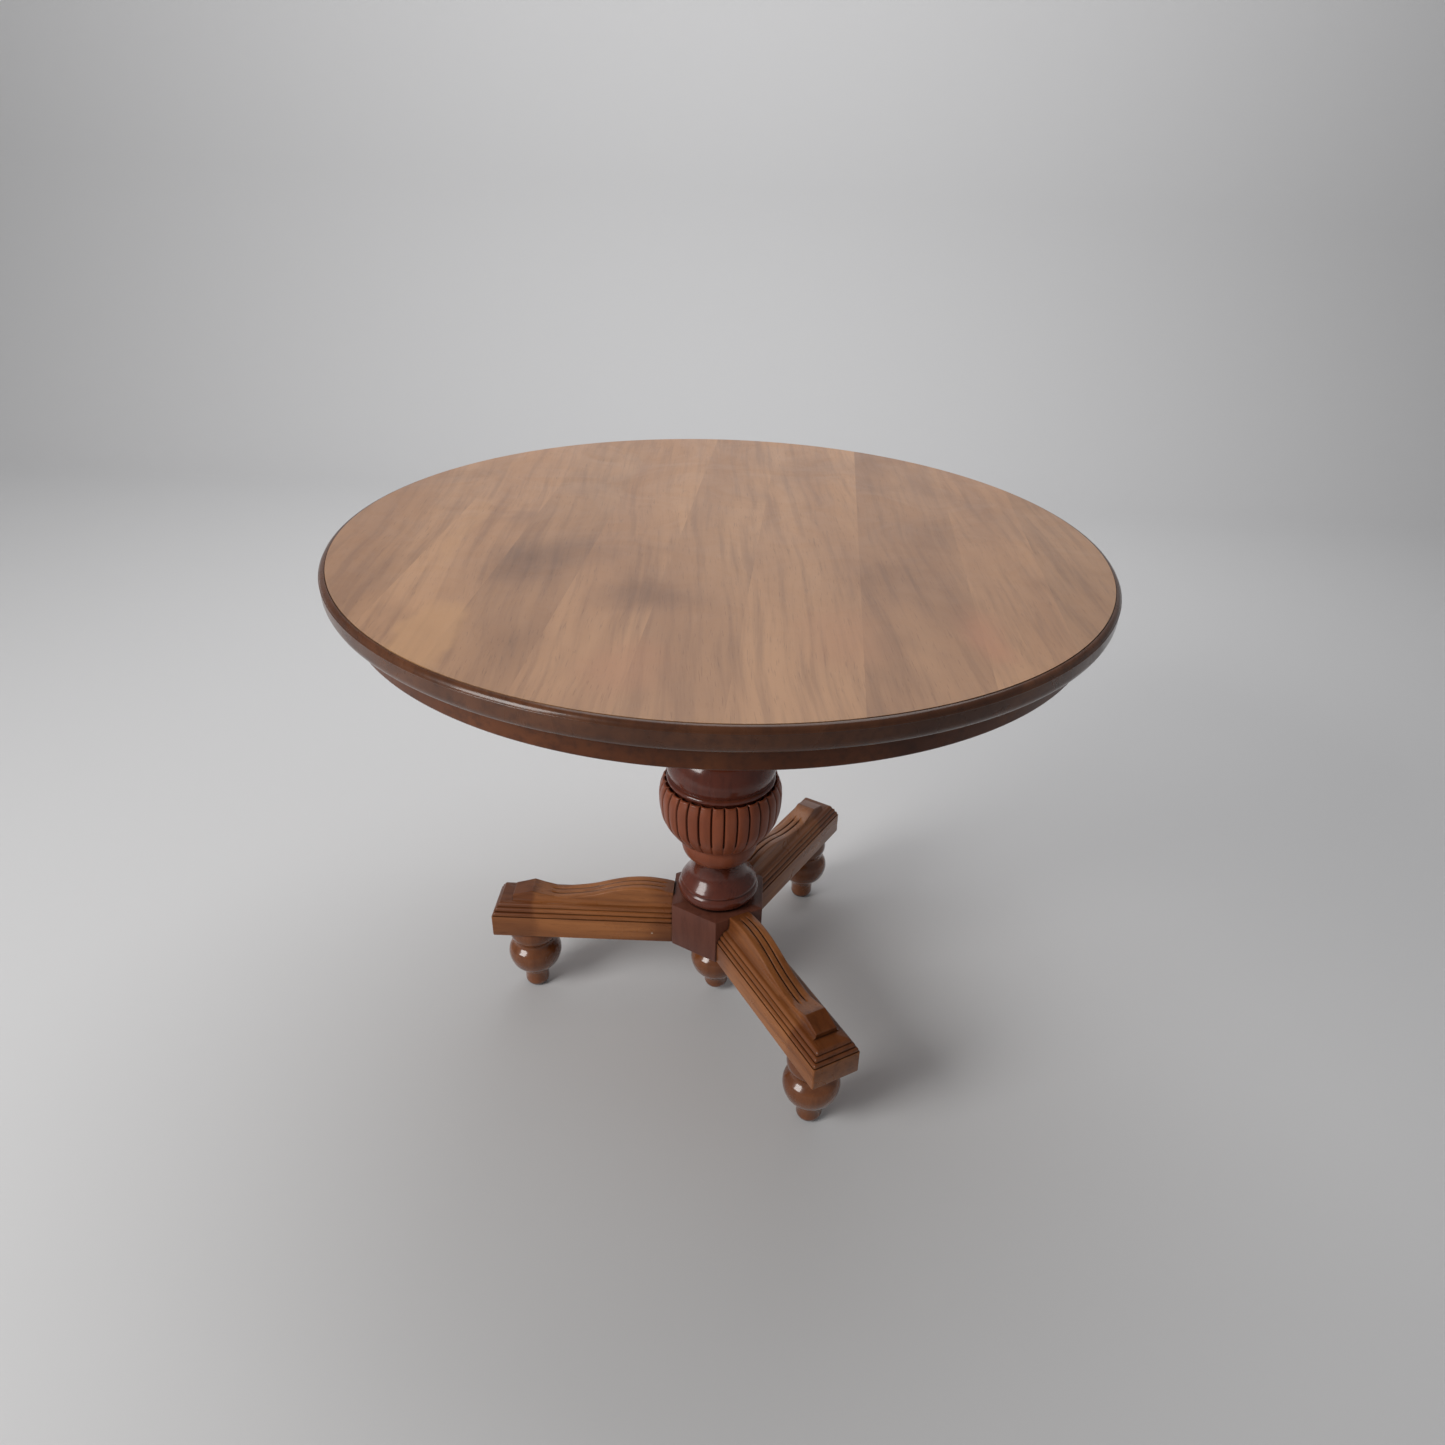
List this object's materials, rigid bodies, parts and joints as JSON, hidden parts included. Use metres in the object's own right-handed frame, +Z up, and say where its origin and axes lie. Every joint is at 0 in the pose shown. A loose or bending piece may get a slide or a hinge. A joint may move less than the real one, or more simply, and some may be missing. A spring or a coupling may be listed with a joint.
{
  "type": "round pedestal table",
  "caption": "Round wooden dining table with a moulded edge and apron on a gadrooned turned column, hexagonal hub, moulded tripod legs and bun feet.",
  "frame": {"origin": "on the floor, on the vertical axis of the column, under the centre of the top", "axes": "+Z up out of the table top; one leg points to -X, the other two at 60 degrees either side of +X; the usual view is from -Y"},
  "size_m": [0.98, 0.98, 0.772],
  "materials": {
    "top_boards": "satin varnish over reddish brown stained solid wood",
    "edge_band": "glossy dark brown varnish",
    "apron": "satin dark brown varnish",
    "inner_wood": "unfinished pale wood",
    "column_dark": "glossy dark plum brown varnish",
    "gadroons": "satin lighter reddish brown varnish",
    "legs": "satin golden brown varnish",
    "feet": "glossy golden brown varnish",
    "screws": "zinc plated steel"
  },
  "bodies": {
    "root": {"top_board_1": "top_boards", "top_board_2": "top_boards", "top_board_3": "top_boards", "top_board_4": "top_boards", "top_board_5": "top_boards", "top_board_6": "top_boards", "top_board_7": "top_boards", "top_board_8": "top_boards", "top_board_9": "top_boards", "edge_band_1": "edge_band", "edge_band_2": "edge_band", "edge_band_3": "edge_band", "edge_band_4": "edge_band", "edge_band_5": "edge_band", "edge_band_6": "edge_band", "apron_segment_1": "apron", "apron_segment_2": "apron", "apron_segment_3": "apron", "apron_segment_4": "apron", "apron_segment_5": "apron", "apron_segment_6": "apron", "apron_splines": "inner_wood", "glue_block_1": "inner_wood", "glue_block_2": "inner_wood", "glue_block_3": "inner_wood", "glue_block_4": "inner_wood", "glue_block_5": "inner_wood", "glue_block_6": "inner_wood", "front_bearer": "inner_wood", "rear_bearer": "inner_wood", "bearer_screws": "screws", "mounting_block": "inner_wood", "mounting_screws": "screws", "column_vase": "column_dark", "gadroon_bowl": "gadroons", "column_bell": "column_dark", "leg_hub": "column_dark", "leg_dowels": "inner_wood", "leg_rail_1": "legs", "leg_rail_2": "legs", "leg_rail_3": "legs", "leg_crest_1": "legs", "leg_crest_2": "legs", "leg_crest_3": "legs", "bun_foot_1": "feet", "bun_foot_2": "feet", "bun_foot_3": "feet", "centre_foot": "feet"}
  },
  "joints": []
}
